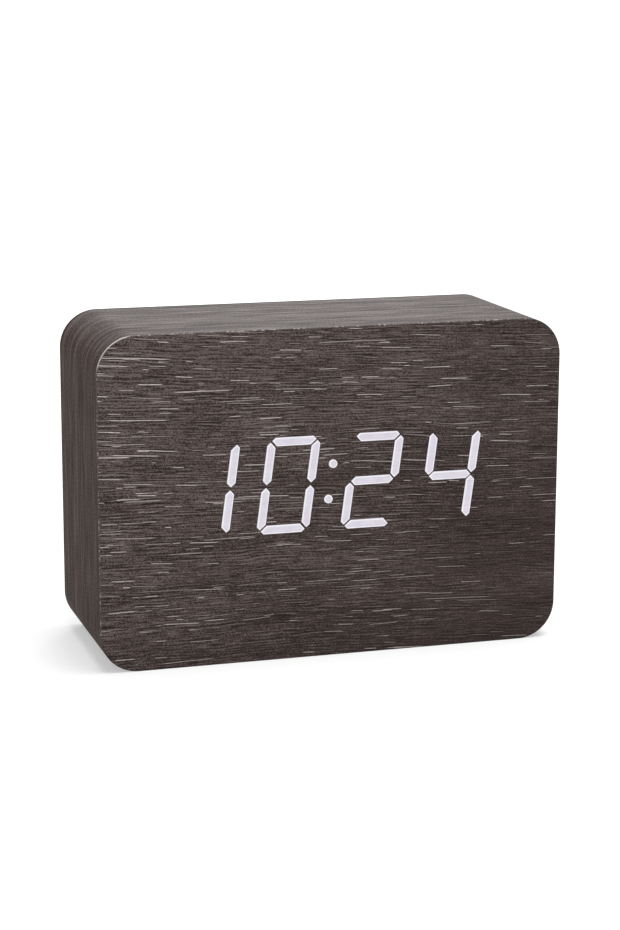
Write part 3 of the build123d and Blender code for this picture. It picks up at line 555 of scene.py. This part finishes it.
def fibreboard():
    """Raw fibreboard: pressed brown fibres and lighter flecks."""
    finish = Finish("fibreboard", roughness=0.9, specular=0.15)
    cloud = finish.swing((15, 15, 15), 0.3, detail=2.0)
    flecks = finish.swing((1.2, 0.4, 1.2), 0.8, detail=3.0, roughness=0.7)
    layers = finish.swing((30, 30, 2.5), 0.14, detail=1.0, shift=4.0)
    tone = finish.add(0.5, cloud, flecks, layers)
    finish.set(
        "Base Color",
        finish.ramp(tone, (0.1, shade(101, 75, 50)), (0.5, shade(147, 114, 80)), (0.9, shade(183, 152, 117))),
    )
    finish.bump(tone, 0.06, 0.8)
    return finish.material


def circuit_board():
    """Green solder mask over copper tracks, tinned pads, and the bare laminate at the board's edge."""
    finish = Finish("circuit_board", specular=0.5)
    x, z = finish.x, finish.z
    pitch = 1.27
    stretch = 9.5
    track_half = 0.2
    pad_radius = 0.38
    column = finish.math("FLOOR", finish.times(x, 1 / pitch))
    row = finish.math("FLOOR", finish.times(z, 1 / pitch))
    long_column = finish.math("FLOOR", finish.times(x, 1 / stretch))
    long_row = finish.math("FLOOR", finish.times(z, 1 / stretch))
    upright = finish.times(
        finish.within(finish.repeat(x, pitch / 2, pitch), track_half),
        finish.fade(finish.chance(column, long_row, 1.0)[0], 0.52, 0.5),
    )
    level = finish.times(
        finish.within(finish.repeat(z, pitch / 2, pitch), track_half),
        finish.fade(finish.chance(long_column, row, 2.0)[0], 0.42, 0.4),
    )
    tracks = finish.most(upright, level)
    spot = finish.join(finish.repeat(x, pitch / 2, pitch), finish.repeat(z, pitch / 2, pitch), 0.0)
    reach = finish.node("ShaderNodeVectorMath", {0: spot}, operation="LENGTH").outputs["Value"]
    chosen = finish.fade(finish.chance(column, row, 3.0)[1], 0.9, 0.92)
    pads = finish.times(finish.fade(reach, pad_radius + 0.04, pad_radius - 0.04), chosen)
    cloud = finish.swing((6, 6, 6), 0.5, detail=2.0)
    mask = finish.ramp(finish.add(0.5, cloud), (0.1, shade(13, 62, 38)), (0.9, shade(22, 82, 51)))
    colour = finish.mix(tracks, mask, shade(42, 112, 72))
    colour = finish.mix(pads, colour, shade(196, 194, 186))
    edge = finish.fade(finish.size_of(finish.normal()[1]), 0.6, 0.4)
    finish.set("Base Color", finish.mix(edge, colour, shade(158, 150, 104)))
    finish.set("Metallic", finish.times(pads, finish.less(1.0, edge)))
    finish.set("Roughness", finish.add(0.32, finish.times(edge, 0.4)))
    finish.bump(finish.most(tracks, pads), 0.035, 0.8)
    return finish.material


def plated_metal(name, low, high, roughness, scratch=(0.3, 2.5, 0.3)):
    """Plated metal with fine rubbing marks and a faint unevenness of the plating."""
    finish = Finish(name, metallic=1.0)
    rub = finish.swing(scratch, 0.6, detail=3.0, roughness=0.6)
    cloud = finish.swing((3, 3, 3), 0.5, detail=2.0, shift=5.0)
    tone = finish.add(0.5, rub, cloud)
    finish.set("Base Color", finish.ramp(tone, (0.1, low), (0.9, high)))
    finish.set("Roughness", finish.add(roughness, finish.times(rub, 0.2)))
    finish.bump(rub, 0.01, 0.5)
    return finish.material


tin_colour = shade(196, 196, 192)


def chip_package():
    """Black moulded package with a dimple at its first lead, and tinned leads round it."""
    finish = Finish("chip_package", specular=0.35)
    lead_reach = 1.2
    dimple_radius = 0.55
    middle = middle_of("clock_chip")
    half = half_of("clock_chip").x - lead_reach
    dimple_place = (middle.x + 0.72 * half, middle.z + 0.72 * half)
    body = finish.bar(finish.x, finish.z, (middle.x, middle.z), half, half)
    dimple = finish.disc(finish.x, finish.z, dimple_place, dimple_radius, 0.1)
    grain = finish.noise((0.25, 0.25, 0.25), 2.0)
    black = finish.ramp(grain, (0.2, shade(24, 24, 26)), (0.8, shade(42, 42, 44)))
    black = finish.mix(dimple, black, shade(64, 64, 66))
    finish.set("Base Color", finish.mix(body, tin_colour, black))
    finish.set("Metallic", finish.less(1.0, body))
    finish.set("Roughness", finish.fade(body, 0.0, 1.0, 0.3, 0.62))
    finish.bump(finish.less(grain, finish.times(dimple, 3.0)), 0.02, 0.6)
    return finish.material


def capacitor_sleeve():
    """Shrunk sleeve with a pale stripe along one side, round a can whose scored top is bare."""
    finish = Finish("capacitor_sleeve", specular=0.5)
    middle = middle_of("smoothing_capacitors")
    half = half_of("smoothing_capacitors")
    radius = half.z
    top_y = middle.y + half.y
    side = finish.less(finish.size_of(finish.less(finish.x, middle.x)), half.x - radius)
    rise = finish.less(finish.z, middle.z)
    reach = finish.distance(side, rise, (0.0, 0.0))
    top = finish.times(
        finish.fade(finish.y, top_y - 0.5, top_y - 0.35),
        finish.fade(reach, radius - 0.25, radius - 0.35),
    )
    stripe = finish.fade(side, radius * 0.62, radius * 0.66)
    score = finish.times(
        finish.most(finish.within(side, 0.1, 0.05), finish.within(rise, 0.1, 0.05)),
        finish.fade(reach, radius * 0.72, radius * 0.66),
    )
    dashes = finish.times(finish.within(rise, 0.28), finish.within(finish.repeat(finish.y, 0.0, 2.2), 0.6))
    cloud = finish.swing((3, 3, 3), 0.4, detail=2.0)
    sleeve = finish.ramp(finish.add(0.5, cloud), (0.1, shade(20, 25, 56)), (0.9, shade(33, 39, 78)))
    pale = finish.mix(dashes, shade(187, 190, 199), shade(24, 29, 60))
    sleeve = finish.mix(stripe, sleeve, pale)
    can = finish.mix(score, shade(190, 190, 192), shade(92, 92, 94))
    finish.set("Base Color", finish.mix(top, sleeve, can))
    finish.set("Metallic", top)
    finish.set("Roughness", finish.add(0.3, finish.times(cloud, 0.1)))
    finish.bump(finish.times(score, top, -1.0), 0.1, 1.0)
    return finish.material


def chip_resistor():
    """Black glazed chips with tinned ends."""
    finish = Finish("chip_resistor", specular=0.5)
    pitch = 2.6
    end_start = 0.5
    middle = middle_of("chip_resistors")
    across = finish.repeat(finish.x, middle.x + pitch / 2, pitch)
    ends = finish.fade(finish.size_of(across), end_start - 0.04, end_start + 0.04)
    grain = finish.noise((0.3, 0.3, 0.3), 2.0)
    black = finish.ramp(grain, (0.2, shade(18, 18, 20)), (0.8, shade(40, 40, 43)))
    finish.set("Base Color", finish.mix(ends, black, tin_colour))
    finish.set("Metallic", ends)
    finish.set("Roughness", finish.fade(grain, 0.3, 0.7, 0.3, 0.42))
    return finish.material


def buzzer_case():
    """Black moulded sounder with a turned step and a polarity cross on its top."""
    finish = Finish("buzzer_case", specular=0.4)
    middle = middle_of("alarm_buzzer")
    step_radius = 4.4
    cross_place = (middle.x + 2.7, middle.z)
    cross_length = 0.6
    cross_half = 0.12
    step = finish.ring(finish.x, finish.z, (middle.x, middle.z), step_radius, 0.22, 0.1)
    cross = finish.most(
        finish.bar(finish.x, finish.z, cross_place, cross_length, cross_half),
        finish.bar(finish.x, finish.z, cross_place, cross_half, cross_length),
    )
    grain = finish.noise((0.4, 0.4, 0.4), 2.0, shift=3.0)
    black = finish.ramp(grain, (0.2, shade(23, 23, 24)), (0.8, shade(43, 43, 44)))
    printed = finish.times(cross, finish.faces_back())
    finish.set("Base Color", finish.mix(printed, black, print_white))
    finish.set("Roughness", finish.fade(grain, 0.3, 0.7, 0.5, 0.4))
    finish.bump(finish.less(finish.times(grain, 0.3), step), 0.08, 0.8)
    return finish.material


def switch_body():
    """Black switch bodies under a bright cover plate with a rivet at each corner."""
    finish = Finish("switch_body", specular=0.4)
    plate_thickness = 0.29
    rivet_place = (2.2, 2.2)
    rivet_radius = 0.42
    middle = middle_of("key_switches")
    top_y = middle.y + half_of("key_switches").y
    pitch = middle_of("set_button").x - middle_of("up_button").x
    across = finish.repeat(finish.x, middle.x, pitch)
    rise = finish.less(finish.z, middle.z)
    plate_y = top_y - plate_thickness
    plate = finish.fade(finish.y, plate_y - 0.03, plate_y + 0.03)
    rivets = finish.disc(finish.size_of(across), finish.size_of(rise), rivet_place, rivet_radius)
    grain = finish.noise((0.4, 0.4, 0.4), 2.0)
    black = finish.ramp(grain, (0.2, shade(22, 22, 23)), (0.8, shade(41, 41, 42)))
    metal = finish.mix(rivets, shade(188, 188, 186), shade(30, 30, 31))
    finish.set("Base Color", finish.mix(plate, black, metal))
    finish.set("Metallic", finish.times(plate, finish.less(1.0, rivets)))
    finish.set("Roughness", finish.fade(grain, 0.3, 0.7, 0.42, 0.3))
    finish.bump(finish.times(rivets, plate), 0.08, 0.8)
    return finish.material


def ribbon_sleeve():
    """Grey flat cable, ridged over its conductors, with one marked edge."""
    finish = Finish("ribbon_sleeve", roughness=0.5, specular=0.4)
    conductors = 4
    low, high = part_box("key_ribbon")
    low_x = low[0] / mm
    pitch = (high[0] - low[0]) / mm / conductors
    across = finish.repeat(finish.x, low_x + pitch / 2, pitch)
    ridge = finish.fade(finish.size_of(across), pitch / 2, 0.0)
    marked = finish.fade(finish.less(finish.x, low_x), pitch, pitch - 0.1)
    cloud = finish.swing((4, 4, 4), 0.4, detail=2.0)
    tone = finish.add(0.3, cloud, finish.times(ridge, 0.4))
    grey = finish.ramp(tone, (0.0, shade(112, 112, 115)), (1.0, shade(178, 178, 181)))
    finish.set("Base Color", finish.mix(marked, grey, shade(150, 52, 46)))
    finish.bump(ridge, 0.25, 0.9)
    return finish.material


def lead_sleeve():
    """Flexible insulation, red for the lead from the plus side and black for the other."""
    finish = Finish("lead_sleeve", specular=0.4)
    socket_y = -13.4
    inlet_y = 13.0
    pair_middle = 1.9
    # The leads beyond this are the inlet's. Of the cells' leads, what lies beyond and below the end of the
    # row of cells comes from the plus side.
    inlet_side_x = 38.0
    row_end_x = 20.0
    row_end_z = 51.9
    power_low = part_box("power_leads")[0]
    pin_x = middle_of("dc_jack").x
    middle_x = finish.fade(finish.y, socket_y, inlet_y, power_low[0] / mm + pair_middle, pin_x + 1.5)
    battery_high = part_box("battery_leads")[1]
    battery_x = battery_high[0] / mm - pair_middle
    near_inlet = finish.fade(finish.x, inlet_side_x, inlet_side_x + 0.5)
    power_red = finish.fade(finish.less(finish.x, middle_x), 0.1, -0.1)
    end_of_row = finish.times(
        finish.fade(finish.x, row_end_x - 0.1, row_end_x + 0.1),
        finish.fade(finish.z, row_end_z + 0.1, row_end_z - 0.1),
    )
    battery_red = finish.most(finish.fade(finish.x, battery_x - 0.1, battery_x + 0.1), end_of_row)
    red = finish.add(
        finish.times(near_inlet, power_red),
        finish.times(finish.less(1.0, near_inlet), battery_red),
    )
    cloud = finish.noise((2.2, 2.2, 2.2), 3.0)
    finish.set(
        "Base Color",
        finish.mix(
            red,
            finish.ramp(cloud, (0.3, shade(22, 22, 23)), (0.7, shade(38, 38, 39))),
            finish.ramp(cloud, (0.3, shade(146, 24, 22)), (0.7, shade(178, 38, 34))),
        ),
    )
    finish.set("Roughness", finish.fade(cloud, 0.3, 0.7, 0.46, 0.36))
    finish.bump(cloud, 0.04, 0.5)
    return finish.material


def cell_wrap():
    """Plain printed sleeves on the cells, with a pale band, bare metal discs and polarity marks."""
    finish = Finish("cell_wrap", specular=0.5)
    middle = middle_of("battery_cell_2")
    other = middle_of("battery_cell_1")
    half = half_of("battery_cell_2")
    pitch = middle.z - other.z
    from_middle = finish.size_of(finish.less(finish.z, middle.z))
    turned = finish.fade(from_middle, pitch / 2, pitch / 2 - 0.1, 1.0, -1.0)
    along = finish.times(finish.x, turned)
    plus_end = other.x + half.x
    minus_end = other.x - half.x
    rise = finish.repeat(finish.z, middle.z, pitch)
    reach = finish.distance(rise, finish.y, (0.0, middle.y))
    nub_room = 1.5
    disc_radius = 4.2
    band_length = 13.0
    mark_length = 1.5
    mark_half = 0.28
    plus_place = (plus_end - 7.0, 0.0)
    minus_place = (minus_end + 6.0, 0.0)
    near_plus = finish.fade(along, plus_end - nub_room - 0.1, plus_end - nub_room + 0.1)
    near_minus = finish.fade(along, minus_end + 0.35, minus_end + 0.15)
    disc = finish.fade(reach, disc_radius + 0.1, disc_radius - 0.1)
    bare = finish.times(finish.most(near_plus, near_minus), disc)
    band_start = plus_end - band_length
    band = finish.fade(along, band_start, band_start + 0.1)
    lines = finish.most(
        finish.within(finish.less(along, band_start - 1.2), 0.35),
        finish.within(finish.less(along, band_start - 2.6), 0.15),
    )
    cross = finish.most(
        finish.bar(along, rise, plus_place, mark_length, mark_half),
        finish.bar(along, rise, plus_place, mark_half, mark_length),
    )
    dash = finish.bar(along, rise, minus_place, mark_half, mark_length)
    cloud = finish.swing((8, 8, 8), 0.4, detail=2.0)
    tone = finish.add(0.5, cloud)
    body = finish.ramp(tone, (0.1, shade(34, 72, 100)), (0.9, shade(48, 92, 124)))
    silver = finish.ramp(tone, (0.1, shade(158, 160, 162)), (0.9, shade(186, 188, 190)))
    colour = finish.mix(band, body, silver)
    colour = finish.mix(finish.most(lines, dash), colour, shade(214, 214, 210))
    colour = finish.mix(cross, colour, shade(34, 60, 84))
    finish.set("Base Color", finish.mix(bare, colour, shade(198, 198, 196)))
    finish.set("Metallic", finish.most(bare, finish.times(band, finish.less(0.4, finish.times(cross, 0.4)))))
    finish.set("Roughness", finish.add(0.27, finish.times(cloud, 0.08)))
    finish.bump(finish.noise((1.5, 1.5, 1.5), 2.0, shift=8.0), 0.02, 0.4)
    return finish.material


finishes = {
    "front_film": front_film(),
    "wrap_film": wrap_film(),
    "fibreboard": fibreboard(),
    "lit_segment": lit_segment("lit_segment", shade(201, 195, 208), shade(227, 223, 233)),
    "black_mask": plain_plastic("black_mask", shade(14, 13, 13), 0.6, 0.2, 0.3, 0.005),
    "white_reflector": plain_plastic("white_reflector", shade(222, 222, 218), 0.3, 0.5, 1.4, 0.015),
    "diffuser_resin": plain_plastic("diffuser_resin", shade(226, 226, 221), 0.36, 0.5, 0.9, 0.01),
    "led_chip": plain_plastic("led_chip", shade(232, 214, 128), 0.28, 0.5, 0.3, 0.01),
    "circuit_board": circuit_board(),
    "nylon": plain_plastic("nylon", shade(214, 209, 194), 0.45, 0.4, 0.7, 0.015),
    "steel": plated_metal("steel", shade(150, 150, 150), shade(196, 196, 192), 0.34),
    "chip_package": chip_package(),
    "crystal_can": plated_metal(
        "crystal_can", shade(180, 180, 182), shade(216, 216, 216), 0.26, (2.5, 0.4, 2.5)
    ),
    "capacitor_sleeve": capacitor_sleeve(),
    "chip_resistor": chip_resistor(),
    "buzzer_case": buzzer_case(),
    "cover_plastic": cover_plastic(),
    "key_plastic": key_plastic(),
    "switch_body": switch_body(),
    "switch_plunger": plain_plastic("switch_plunger", shade(66, 65, 64), 0.42, 0.4, 0.4, 0.01),
    "ribbon_sleeve": ribbon_sleeve(),
    "jack_plastic": plain_plastic("jack_plastic", shade(26, 26, 27), 0.32, 0.5, 0.5, 0.012),
    "contact_metal": plated_metal("contact_metal", shade(188, 186, 178), shade(226, 224, 216), 0.24),
    "lead_sleeve": lead_sleeve(),
    "cell_wrap": cell_wrap(),
}
for row in frame["record"]["subparts"]:
    piece = nodes[row["node"]]
    piece.data.materials.clear()
    piece.data.materials.append(finishes[row["material_slot"]])


def new_object(name, data):
    made = bpy.data.objects.new(name, data)
    bpy.context.scene.collection.objects.link(made)
    return made


# Lit segments, brighter round their edges, each a hair clear of the film

segment_clearance = 0.09 * mm
segment_bevel = 0.06 * mm
segment_rim = 0.34 * mm
weld = 0.001 * mm
flat_angle = math.radians(0.5)


def front_outlines(mesh):
    """The outlines of a node's front faces, each anticlockwise in x and z."""
    whole = bmesh.new()
    whole.from_mesh(mesh)
    bmesh.ops.remove_doubles(whole, verts=whole.verts, dist=weld)
    bmesh.ops.dissolve_limit(
        whole, angle_limit=flat_angle, use_dissolve_boundaries=False, verts=whole.verts, edges=whole.edges
    )
    outlines = []
    for face in whole.faces:
        if face.normal.y > -0.99:
            continue
        outline = [Vector((vertex.co.x, vertex.co.z)) for vertex in face.verts]
        turn = sum(a.x * b.y - a.y * b.x for a, b in zip(outline, outline[1:] + outline[:1]))
        outlines.append(outline if turn > 0 else outline[::-1])
    whole.free()
    return outlines


def drawn_in(outline, amount):
    """A convex anticlockwise outline moved inwards."""
    moved = []
    for before, corner, after in zip(outline[-1:] + outline[:-1], outline, outline[1:] + outline[:1]):
        coming = (corner - before).normalized()
        going = (after - corner).normalized()
        inward = Vector((-coming.y - going.y, coming.x + going.x)).normalized()
        moved.append(corner + inward * amount / inward.dot(Vector((-coming.y, coming.x))))
    return moved


def make_segments(name):
    """A node's lit piece: its outlines drawn in, bevelled and with a brighter rim."""
    low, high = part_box(name)
    shape = bmesh.new()
    for outline in front_outlines(nodes[name].data):
        levels = (
            (segment_clearance, high.y),
            (segment_clearance, low.y + segment_bevel),
            (segment_clearance + segment_bevel, low.y),
            (segment_clearance + segment_rim, low.y),
        )
        loops = []
        for amount, y in levels:
            loops.append([shape.verts.new((x, y, z)) for x, z in drawn_in(outline, amount)])
        for lower, upper in zip(loops[:-1], loops[1:]):
            for a, b, c, d in zip(lower, lower[1:] + lower[:1], upper[1:] + upper[:1], upper):
                shape.faces.new((a, b, c, d)).material_index = 1
        shape.faces.new(loops[0][::-1])
        shape.faces.new(loops[-1])
    mesh = bpy.data.meshes.new(f"{name}_lit")
    shape.to_mesh(mesh)
    shape.free()
    piece = new_object(f"{name}_lit", mesh)
    mesh.materials.append(finishes["lit_segment"])
    mesh.materials.append(lit_rim)
    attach(piece, "case")
    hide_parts(name)


lit_rim = lit_segment("lit_rim", shade(230, 226, 236), shade(248, 246, 251))
for row in frame["record"]["subparts"]:
    if row["material_slot"] == "lit_segment":
        make_segments(row["node"])


# Floor and background

def seen_directly(tree):
    """1 for rays from the camera, and for what shows in gloss or through glass, else 0."""
    path = tree.nodes.new("ShaderNodeLightPath")
    total = None
    for name in ("Is Camera Ray", "Is Glossy Ray", "Is Transmission Ray"):
        if total is None:
            total = path.outputs[name]
            continue
        adding = tree.nodes.new("ShaderNodeMath")
        adding.operation = "MAXIMUM"
        tree.links.new(total, adding.inputs[0])
        tree.links.new(path.outputs[name], adding.inputs[1])
        total = adding.outputs[0]
    return total


def make_world():
    world = bpy.data.worlds.new("studio")
    world.use_nodes = True
    tree = world.node_tree
    tree.nodes.clear()
    output = tree.nodes.new("ShaderNodeOutputWorld")
    background = tree.nodes.new("ShaderNodeBackground")
    tree.links.new(background.outputs[0], output.inputs["Surface"])
    level = tree.nodes.new("ShaderNodeMapRange")
    level.inputs["To Min"].default_value = sky_strength
    level.inputs["To Max"].default_value = background_strength
    tree.links.new(seen_directly(tree), level.inputs["Value"])
    tree.links.new(level.outputs[0], background.inputs["Strength"])
    background.inputs["Color"].default_value = (1.0, 1.0, 1.0, 1.0)
    bpy.context.scene.world = world


def make_floor():
    half = floor_size / 2
    mesh = bpy.data.meshes.new("floor")
    corners = [(-half, -half, 0), (half, -half, 0), (half, half, 0), (-half, half, 0)]
    mesh.from_pydata(corners, [], [(0, 1, 2, 3)])
    floor = new_object("floor", mesh)
    material = bpy.data.materials.new("floor")
    material.use_nodes = True
    tree = material.node_tree
    surface = tree.nodes["Principled BSDF"]
    surface.inputs["Base Color"].default_value = (floor_shade, floor_shade, floor_shade, 1.0)
    surface.inputs["Roughness"].default_value = 0.9
    surface.inputs["Specular IOR Level"].default_value = 0.0
    surface.inputs["Emission Color"].default_value = (1.0, 1.0, 1.0, 1.0)
    level = tree.nodes.new("ShaderNodeMapRange")
    level.inputs["To Max"].default_value = floor_glow
    tree.links.new(seen_directly(tree), level.inputs["Value"])
    tree.links.new(level.outputs[0], surface.inputs["Emission Strength"])
    mesh.materials.append(material)


def place_lamp(data, place, aim):
    lamp = new_object(data.name, data)
    lamp.location = place
    lamp.rotation_euler = (aim - place).to_track_quat("-Z", "Y").to_euler()


def make_overhead(aim):
    """Soft light from above, as even over the floor as over the clock."""
    data = bpy.data.lights.new("overhead", "SUN")
    data.energy = overhead_strength
    data.angle = math.radians(overhead_spread)
    place_lamp(data, overhead_place, aim)


def make_soft_box(name, place, aim, power, size):
    data = bpy.data.lights.new(name, "AREA")
    data.energy = power
    data.shape = "SQUARE"
    data.size = size
    place_lamp(data, place, aim)


def make_camera():
    azimuth, elevation, roll = (
        math.radians(angle) for angle in (view_azimuth, view_elevation, view_roll)
    )
    right = Vector((math.cos(azimuth), math.sin(azimuth), 0))
    back = Vector(
        (
            math.sin(azimuth) * math.cos(elevation),
            -math.cos(azimuth) * math.cos(elevation),
            math.sin(elevation),
        )
    )
    up = back.cross(right)
    right, up = (
        right * math.cos(roll) + up * math.sin(roll),
        up * math.cos(roll) - right * math.sin(roll),
    )
    data = bpy.data.cameras.new("camera")
    data.sensor_fit = "AUTO"
    data.sensor_width = sensor_size
    data.lens = sensor_size * focal_pixels / image_height
    camera = new_object("camera", data)
    turned = Matrix((right, up, back)).transposed().to_4x4()
    camera.matrix_world = Matrix.Translation(view_target + back * view_distance) @ turned
    bpy.context.scene.camera = camera


make_world()
make_floor()
case_middle = (cad_low + cad_high) / 2
make_overhead(case_middle)
make_soft_box("key", key_place, case_middle, key_power, key_size)
make_soft_box("back", back_place, case_middle, back_power, back_size)
make_camera()
bpy.context.scene.view_settings.view_transform = "Standard"

bpy.context.view_layer.update()
